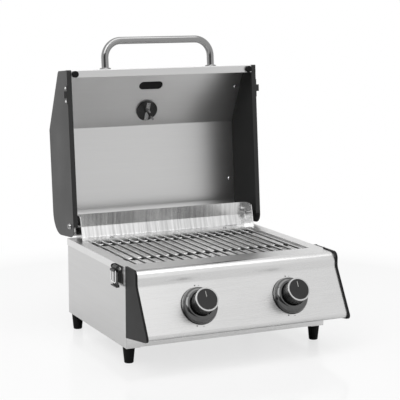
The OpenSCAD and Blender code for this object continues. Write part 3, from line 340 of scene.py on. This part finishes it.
body_steel = brushed("body_steel", 0.62, "X", rough=(0.22, 0.32))
side_steel = brushed("side_steel", 0.62, "Y", rough=(0.28, 0.4))
deck_steel = brushed("deck_steel", 0.74, "X", rough=(0.36, 0.44), anisotropy=0.7)
lid_steel = brushed("lid_steel", 0.6, "X", rough=(0.28, 0.34), spread=0.03, anisotropy=0.6)
liner_steel = brushed("liner_steel", 0.84, "Z", rough=(0.36, 0.46), anisotropy=0.3, metal=0.35)
tamer_steel = brushed("tamer_steel", 0.92, "Y", rough=(0.36, 0.46), anisotropy=0.3, metal=0.1)
# Grate rods, with painted light: pale tops and nearly black sides
rod_steel = heated("rod_steel", 0.06, lit_top_tone=0.84, rough=(0.12, 0.2))
# Handle tube, darker than the body's steel: a painted dark reflection
tube_steel = brushed("tube_steel", 0.26, "X", rough=(0.10, 0.16), anisotropy=0.2)
guard_steel = streaked("guard_steel", 0.76, streak_share=0.68, rough=(0.15, 0.28))
chrome = polished("chrome", 0.82, rough=(0.06, 0.14), smear=14.0)
# Darker copy of the chrome for the bezels: a painted dark reflection
painted_dark_chrome = polished("chrome_painted_dark", 0.11, rough=(0.03, 0.07), smear=14.0)
screw_steel = polished("screw_steel", 0.7, rough=(0.14, 0.24))
# Darker copy of the screw steel for the deck screws: painted shade
shaded_screw = polished("shaded_screw", 0.26, rough=(0.16, 0.26))
gunmetal = polished("gunmetal", 0.32, rough=(0.12, 0.22))
dark_paint = painted("dark_paint", 0.012, rough=(0.36, 0.46), peel=700.0, shine=0.45, inside=0.85)
cap_black = painted("cap_black", 0.008, rough=(0.38, 0.48), peel=1100.0, shine=0.16)
knob_black = painted("knob_black", 0.010, rough=(0.22, 0.32), peel=1500.0, peel_depth=0.05)
latch_black = painted("latch_black", 0.012, rough=(0.28, 0.4), peel=1500.0)
rubber_black = painted("rubber_black", 0.005, rough=(0.55, 0.7), peel=1800.0, peel_depth=0.2, shine=0.15)
brass = brass_look()
ceramic = ceramic_look()
glass = glass_look()
dial_white = flat_print("dial_white", (0.86, 0.86, 0.83))
needle_red = flat_print("needle_red", (0.55, 0.03, 0.02), rough=0.35)
ink_black = flat_print("ink_black", (0.02, 0.02, 0.02))
pointer_pale = flat_print("pointer_pale", (0.52, 0.52, 0.50), rough=0.4)


def frame_at(place, out):
    """Matrix of a frame at a place, with X as in the row frame and Z along an outward axis."""
    turn = Matrix((RIGHT, out.cross(RIGHT), out)).transposed()
    return Matrix.Translation(place) @ turn.to_4x4()


def knob_frame(side):
    """Frame of one knob, with its middle on the panel and Z along its axis."""
    joint = joints["knob_%s_turn" % side]
    return frame_at(Vector(joint["pos_m"]), Vector(joint["axis"]).normalized())


def shared_name(name):
    """Name of a node without its side."""
    return name.removesuffix("_left").removesuffix("_right")


# A node on each side shares its entry, unless it has one of its own
LOOKS = {
    "side_panel": side_steel, "rear_panel": body_steel, "floor_pan": body_steel, "front_wall": body_steel,
    "top_deck": deck_steel, "rear_guard": guard_steel, "firebox_liner": liner_steel,
    "liner_ledges": liner_steel, "control_panel": body_steel, "end_cap": cap_black, "burners": tamer_steel,
    "burner_bracket": liner_steel, "flame_tamers": tamer_steel, "gas_manifold": brass, "gas_valves": brass,
    "igniter_electrodes": ceramic, "gas_inlet": brass, "tray_rails": liner_steel,
    "rubber_feet": rubber_black, "foot_screws": screw_steel, "knob_bezels": painted_dark_chrome, "valve_stem": screw_steel,
    "knob": knob_black, "deck_screws": shaded_screw, "latch_bases": latch_black, "latch_pins": screw_steel,
    "latch_lever": latch_black, "latch_bail": chrome,
    "hinge_bolts": gunmetal, "hinge_nuts": screw_steel, "cooking_grate": rod_steel, "drip_tray": body_steel,
    "lid_shell": lid_steel, "lid_side": dark_paint, "lid_handle": tube_steel, "handle_rosettes": gunmetal,
    "handle_screws": screw_steel, "thermometer_case": knob_black, "thermometer_dial": dial_white,
    "thermometer_lens": glass, "thermometer_needle": needle_red, "thermometer_bracket": gunmetal,
    "thermometer_probe": gunmetal, "badge_plate": cap_black, "lid_bumpers": rubber_black,
    "latch_keepers": latch_black, "keeper_rivets": screw_steel, "lid_rivets": screw_steel,
}
RING_BAND_LOW = 40.6 * MM
RING_BAND_HIGH = 44.6 * MM
for side in SIDES:
    ring = "knob_ring_" + side
    face = "knob_face_" + side
    knob = knob_frame(side)
    LOOKS[ring] = banded(ring, 0.55, band_tone=0.012, low=RING_BAND_LOW, high=RING_BAND_HIGH, knob=knob)
    LOOKS[face] = spun(face, 0.02, rough=(0.28, 0.4), knob=knob)


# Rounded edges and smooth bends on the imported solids
SMOOTH_ANGLE = math.radians(34)
BEVEL_ANGLE = math.radians(40)
BEVEL_SEGMENTS = 2
LARGEST_WEIGHT = 100
# In millimetres. Sheets stay plain, because rounding their holes would show on the flats.
EDGE_WIDTHS = {
    "end_cap": 1.2, "rubber_feet": 0.8, "knob": 1.0, "knob_ring": 0.25, "knob_bezels": 0.4,
    "badge_plate": 0.9, "lid_bumpers": 0.8, "latch_lever": 0.5, "latch_bases": 0.4, "latch_keepers": 0.35,
    "handle_rosettes": 0.5, "hinge_bolts": 0.35, "cooking_grate": 0.7, "thermometer_case": 0.4,
    "thermometer_probe": 0.4, "thermometer_bracket": 0.3, "deck_screws": 0.3, "handle_screws": 0.4,
    "gas_inlet": 0.5, "hinge_nuts": 0.4, "side_panel": 0.3, "lid_rivets": 0.3, "keeper_rivets": 0.3,
    "latch_pins": 0.3,
}


def smooth_group():
    """Node group that shades faces smooth up to a crease angle."""
    group = bpy.data.node_groups.new("smooth_bends", "GeometryNodeTree")
    group.interface.new_socket("Geometry", in_out="INPUT", socket_type="NodeSocketGeometry")
    group.interface.new_socket("Geometry", in_out="OUTPUT", socket_type="NodeSocketGeometry")
    start = group.nodes.new("NodeGroupInput")
    end = group.nodes.new("NodeGroupOutput")
    faces = group.nodes.new("GeometryNodeSetShadeSmooth")
    faces.domain = "FACE"
    edges = group.nodes.new("GeometryNodeSetShadeSmooth")
    edges.domain = "EDGE"
    angle = group.nodes.new("GeometryNodeInputMeshEdgeAngle")
    flat = group.nodes.new("FunctionNodeCompare")
    flat.operation = "LESS_EQUAL"
    flat.inputs[1].default_value = SMOOTH_ANGLE
    group.links.new(start.outputs[0], faces.inputs["Geometry"])
    group.links.new(faces.outputs[0], edges.inputs["Geometry"])
    group.links.new(angle.outputs["Unsigned Angle"], flat.inputs[0])
    group.links.new(flat.outputs[0], edges.inputs["Shade Smooth"])
    group.links.new(edges.outputs[0], end.inputs[0])
    return group


SMOOTH = smooth_group()


def smooth_bends(piece):
    smooth = piece.modifiers.new("smooth", "NODES")
    smooth.node_group = SMOOTH


def round_edges(piece, width):
    """Joined faces, edges rounded to a width if there is one, smooth bends and plain flats."""
    weld = piece.modifiers.new("weld", "WELD")
    weld.merge_threshold = MERGE_DISTANCE
    if width:
        bevel = piece.modifiers.new("edges", "BEVEL")
        bevel.width = width * MM
        bevel.segments = BEVEL_SEGMENTS
        bevel.limit_method = "ANGLE"
        bevel.angle_limit = BEVEL_ANGLE
        bevel.use_clamp_overlap = True
        bevel.miter_outer = "MITER_ARC"
    smooth_bends(piece)
    flats = piece.modifiers.new("flats", "WEIGHTED_NORMAL")
    flats.mode = "FACE_AREA"
    flats.weight = LARGEST_WEIGHT
    flats.keep_sharp = True


for name, piece in nodes.items():
    piece.data.materials.clear()
    piece.data.materials.append(LOOKS[name if name in LOOKS else shared_name(name)])
    round_edges(piece, EDGE_WIDTHS.get(shared_name(name), 0))


# New pieces
def add_piece(name, mesh, look, body):
    """Object from a finished bmesh in the row frame, which rides on a body."""
    data = bpy.data.meshes.new(name)
    mesh.to_mesh(data)
    mesh.free()
    for polygon in data.polygons:
        polygon.use_smooth = True
    piece = bpy.data.objects.new(name, data)
    scene.collection.objects.link(piece)
    data.materials.append(look)
    smooth_bends(piece)
    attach(piece, body)


def lathe(mesh, profile, matrix, steps):
    """Surface turned from a profile of [radius, height]. A point on the axis closes it."""
    rings = []
    for radius, height in profile:
        if radius == 0:
            rings.append([mesh.verts.new(matrix @ Vector((0, 0, height)))])
            continue
        ring = []
        for i in range(steps):
            angle = 2 * math.pi * i / steps
            point = Vector((radius * math.cos(angle), radius * math.sin(angle), height))
            ring.append(mesh.verts.new(matrix @ point))
        rings.append(ring)
    for low, high in zip(rings, rings[1:]):
        for i in range(steps):
            j = (i + 1) % steps
            corners = [low[i % len(low)], low[j % len(low)], high[j % len(high)], high[i % len(high)]]
            unique = list(dict.fromkeys(corners))
            if len(unique) > 2:
                mesh.faces.new(unique)


def close(mesh, low, high):
    """Faces of a solid between two loops with the same number of points."""
    mesh.faces.new(high)
    mesh.faces.new(low[::-1])
    for i in range(len(low)):
        mesh.faces.new((low[i - 1], low[i], high[i], high[i - 1]))


def bar(mesh, matrix, width, length, height, steps):
    """Flat strip with round ends, drawn along its own Y axis."""
    radius = width / 2
    half = length / 2 - radius
    outline = []
    for start, middle in ((0, half), (math.pi, -half)):
        for i in range(steps + 1):
            angle = start + math.pi * i / steps
            outline.append((radius * math.cos(angle), middle + radius * math.sin(angle)))
    low = [mesh.verts.new(matrix @ Vector((x, y, 0))) for x, y in outline]
    high = [mesh.verts.new(matrix @ Vector((x, y, height))) for x, y in outline]
    close(mesh, low, high)


# Pointer line on each knob, with heights along the knob's axis
POINTER_OUT = 11.5 * MM
POINTER_LOW = 45.6 * MM
POINTER_WIDTH = 1.3 * MM
POINTER_LENGTH = 12.5 * MM
POINTER_HEIGHT = 0.15 * MM
POINTER_STEPS = 8

# Dots printed round each bezel, as [degrees, radius in millimetres]
PANEL_MARKS = ((90, 1.5), (79, 0.8), (251.5, 1.5), (269, 0.7), (272, 0.7))
MARK_PLACE = 44.5 * MM
MARK_TOP = 0.15 * MM
MARK_SHOULDER = 0.05 * MM
MARK_LOW = -0.1 * MM
MARK_CROWN = 0.8
MARK_STEPS = 20

# Gasket between bezel and panel, as [radius, height] in millimetres
GASKET = ((39.8, 0.02), (40.9, 0.02), (40.9, 0.8), (40.5, 1.2), (39.8, 1.2), (39.8, 0.02))
GASKET_STEPS = 72


def pointer_mesh(knob):
    mesh = bmesh.new()
    matrix = knob @ Matrix.Translation((0, POINTER_OUT, POINTER_LOW))
    bar(mesh, matrix, POINTER_WIDTH, POINTER_LENGTH, POINTER_HEIGHT, POINTER_STEPS)
    return mesh


def marks_mesh(knob):
    mesh = bmesh.new()
    for degrees, size in PANEL_MARKS:
        radius = size * MM
        dot = ((0, MARK_LOW), (radius, MARK_LOW), (radius, MARK_SHOULDER), (MARK_CROWN * radius, MARK_TOP),
               (0, MARK_TOP))
        angle = math.radians(degrees)
        spot = Vector((math.cos(angle), math.sin(angle), 0)) * MARK_PLACE
        lathe(mesh, dot, knob @ Matrix.Translation(spot), MARK_STEPS)
    return mesh


def gasket_mesh(knob):
    mesh = bmesh.new()
    lathe(mesh, [(radius * MM, height * MM) for radius, height in GASKET], knob, GASKET_STEPS)
    bmesh.ops.remove_doubles(mesh, verts=mesh.verts[:], dist=MERGE_DISTANCE)
    return mesh


for side in SIDES:
    knob = knob_frame(side)
    add_piece("knob_pointer_" + side, pointer_mesh(knob), pointer_pale, "knob_" + side)
    add_piece("panel_marks_" + side, marks_mesh(knob), ink_black, "base")
    add_piece("bezel_gasket_" + side, gasket_mesh(knob), rubber_black, "base")


# Painted corners, where the flange of each lid side goes on over the end of the rim
CORNER_LENGTH = 17 * MM
CORNER_WRAP = 6 * MM
CORNER_THICKNESS = 0.5 * MM
RIM_BEND = 2 * MM
BEND_STEPS = 6
hinge = Vector(joints["lid_hinge"]["pos_m"])
open_angle = math.radians(joints["lid_hinge"]["range_deg"][1])
lid_front = Vector((0, -math.cos(open_angle), math.sin(open_angle)))
lid_down = Vector((0, -math.sin(open_angle), -math.cos(open_angle)))


def lid_reach(way):
    """How far the lid's shell goes from the hinge in one direction."""
    return max((vertex.co - hinge).dot(way) for vertex in nodes["lid_shell"].data.vertices)


def corner_outline():
    """Points round a thin plate that is folded over the rim's bend."""
    front = lid_reach(lid_front)
    down = lid_reach(lid_down)
    outer = [(front - CORNER_LENGTH, down + CORNER_THICKNESS)]
    inner = [(front - CORNER_LENGTH, down)]
    for i in range(BEND_STEPS + 1):
        turn = math.pi / 2 * i / BEND_STEPS
        for line, radius in ((outer, RIM_BEND + CORNER_THICKNESS), (inner, RIM_BEND)):
            ahead = front - RIM_BEND + radius * math.sin(turn)
            below = down - RIM_BEND + radius * math.cos(turn)
            line.append((ahead, below))
    outer.append((front + CORNER_THICKNESS, down - CORNER_WRAP))
    inner.append((front, down - CORNER_WRAP))
    return [hinge + lid_front * ahead + lid_down * below for ahead, below in outer + inner[::-1]]


def corner_mesh(start, end):
    """Corner between two places along X."""
    mesh = bmesh.new()
    loops = [[mesh.verts.new((x, point.y, point.z)) for point in corner_outline()] for x in (start, end)]
    close(mesh, *loops)
    bmesh.ops.recalc_face_normals(mesh, faces=mesh.faces[:])
    return mesh


for side in SIDES:
    side_low, side_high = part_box("lid_side_" + side)
    add_piece("lid_corner_" + side, corner_mesh(side_low[0], side_high[0]), dark_paint, "lid")


# Ticks and numbers on the thermometer's dial, which lies on the lid's outside
DIAL_TOP = 7.0 * MM
DIAL_NUMBERS = (50, 100, 150, 200, 250, 300, 350)
DIAL_SWEEP = 270
DIAL_START = 135
TICKS_EACH = 5
TICK_END = 23 * MM
TICK_HEIGHT = 0.06 * MM
TICK_STEPS = 4
LONG_TICK = (0.7 * MM, 3.4 * MM)
SHORT_TICK = (0.35 * MM, 1.9 * MM)
NUMBER_PLACE = 15.6 * MM
NUMBER_SIZE = 4.4 * MM
NUMBER_HALF_HEIGHT = 0.03 * MM
NUMBER_STEPS = 3


def dial_frame():
    """Frame on the dial's face, with Z out of the lid."""
    needle = joints["needle_turn"]
    out = Vector(needle["axis"]).normalized()
    if out.y < 0:
        out = -out
    return frame_at(Vector(needle["pos_m"]) + out * DIAL_TOP, out)


def dial_turn(share):
    """Turn on the dial, at a share of the needle's sweep."""
    return Matrix.Rotation(math.radians(DIAL_START - DIAL_SWEEP * share), 4, "Z")


def number_mesh(number, matrix):
    """Mesh of a number, centred in its own frame."""
    curve = bpy.data.curves.new("number", "FONT")
    curve.body = str(number)
    curve.size = NUMBER_SIZE
    curve.align_x = "CENTER"
    curve.align_y = "CENTER"
    curve.extrude = NUMBER_HALF_HEIGHT
    curve.resolution_u = NUMBER_STEPS
    holder = bpy.data.objects.new("number", curve)
    data = bpy.data.meshes.new_from_object(holder)
    data.transform(matrix)
    bpy.data.objects.remove(holder)
    return data


def dial_mesh():
    mesh = bmesh.new()
    dial = dial_frame()
    gaps = len(DIAL_NUMBERS) - 1
    tick_count = gaps * TICKS_EACH
    for i in range(tick_count + 1):
        width, length = SHORT_TICK if i % TICKS_EACH else LONG_TICK
        middle = Matrix.Translation((0, TICK_END - length / 2, 0))
        bar(mesh, dial @ dial_turn(i / tick_count) @ middle, width, length, TICK_HEIGHT, TICK_STEPS)
    for i, number in enumerate(DIAL_NUMBERS):
        spot = dial_turn(i / gaps) @ Vector((0, NUMBER_PLACE, NUMBER_HALF_HEIGHT))
        data = number_mesh(number, dial @ Matrix.Translation(spot))
        mesh.from_mesh(data)
        bpy.data.meshes.remove(data)
    return mesh


add_piece("dial_marks", dial_mesh(), ink_black, "lid")


# Stage
FLOOR_REACH = 8.0
# Distances from the middle, over which the floor turns white and metal starts to mirror it lifted
WHITE_START = 0.45
WHITE_END = 1.15
CLEAR_START = 0.36
CLEAR_END = 0.6
FLOOR_LIFT = 0.7


def floor_look():
    """White acrylic table: takes the shadow, mirrors the part faintly, and fades to plain white."""
    look = Look("white_floor", Base_Color=(0.93, 0.93, 0.93, 1), Roughness=0.12, Specular_IOR_Level=0.4)
    place = look.add("ShaderNodeVectorMath", {0: look.coords()}, {"operation": "LENGTH"})
    distance = place.outputs["Value"]
    fade = look.span(distance, 0.0, 1.0, WHITE_START, WHITE_END, "SMOOTHSTEP")
    clear = look.span(distance, 0.0, 1.0, CLEAR_START, CLEAR_END)
    path = look.add("ShaderNodeLightPath")
    glossy = path.outputs["Is Glossy Ray"]
    straight = look.combine("MAXIMUM", path.outputs["Is Camera Ray"], path.outputs["Is Transmission Ray"])
    seen = look.combine("MAXIMUM", straight, glossy)
    lifted = look.combine("MAXIMUM", straight, look.combine("MULTIPLY", glossy, clear))
    share = look.combine("MAXIMUM", look.combine("MULTIPLY", fade, seen),
                         look.combine("MULTIPLY", lifted, FLOOR_LIFT))
    glow = look.add("ShaderNodeEmission", Color=(1, 1, 1, 1), Strength=1.0)
    mix = look.add("ShaderNodeMixShader", {0: share, 1: look.shader.outputs[0], 2: glow.outputs[0]})
    look.join(mix.outputs[0], look.find("OUTPUT_MATERIAL").inputs["Surface"])
    return look.material


def add_floor():
    corners = [(x * FLOOR_REACH, y * FLOOR_REACH, 0) for x, y in ((-1, -1), (1, -1), (1, 1), (-1, 1))]
    data = bpy.data.meshes.new("floor")
    data.from_pydata(corners, [], [tuple(range(len(corners)))])
    data.materials.append(floor_look())
    piece = bpy.data.objects.new("floor", data)
    scene.collection.objects.link(piece)


add_floor()

# Lamps, all turned to the part's middle
MIDDLE = Vector((0, 0, 0.25))


def soft_box(name, place, size, power):
    data = bpy.data.lights.new(name, "AREA")
    data.shape = "RECTANGLE"
    data.size, data.size_y = size
    data.energy = power
    aimed(name, data, place, MIDDLE - Vector(place))


soft_box("key", place=(-1.6, -1.3, 2.3), size=(1.8, 1.8), power=30)
soft_box("top", place=(0.1, -0.3, 2.8), size=(2.4, 1.8), power=24)
soft_box("fill", place=(0.1, -1.9, 1.75), size=(1.4, 1.6), power=2.5)

# The dim room that metal mirrors: its direction, how near to it the dimming starts, and its level
ROOM_WAY = Vector((-0.5, -0.85, 0.1)).normalized()
ROOM_EDGE = 0.7
ROOM_LEVEL = 0.1
DIFFUSE_LEVEL = 0.42


def studio_world():
    """White for the camera. Metal also mirrors a dim room round the camera's direction."""
    world = bpy.data.worlds.new("studio")
    scene.world = world
    world.use_nodes = True
    world.node_tree.nodes.clear()
    tree = Tree(world.node_tree)
    ways = tree.add("ShaderNodeTexCoord")
    facing = tree.along(ways.outputs["Generated"], ROOM_WAY)
    room = tree.span(facing, 1.0, ROOM_LEVEL, ROOM_EDGE, 1.0, "SMOOTHSTEP")
    path = tree.add("ShaderNodeLightPath")
    seen = tree.combine("MAXIMUM", path.outputs["Is Camera Ray"], path.outputs["Is Transmission Ray"])
    shown = tree.combine("MULTIPLY", seen, 1 - DIFFUSE_LEVEL)
    mirrored = tree.combine("MULTIPLY", path.outputs["Is Glossy Ray"],
                            tree.combine("SUBTRACT", room, DIFFUSE_LEVEL))
    level = tree.combine("ADD", tree.combine("ADD", mirrored, shown), DIFFUSE_LEVEL)
    background = tree.add("ShaderNodeBackground", {"Strength": level}, Color=(1, 1, 1, 1))
    tree.add("ShaderNodeOutputWorld", {"Surface": background.outputs[0]})


studio_world()

scene.view_settings.view_transform = "Standard"
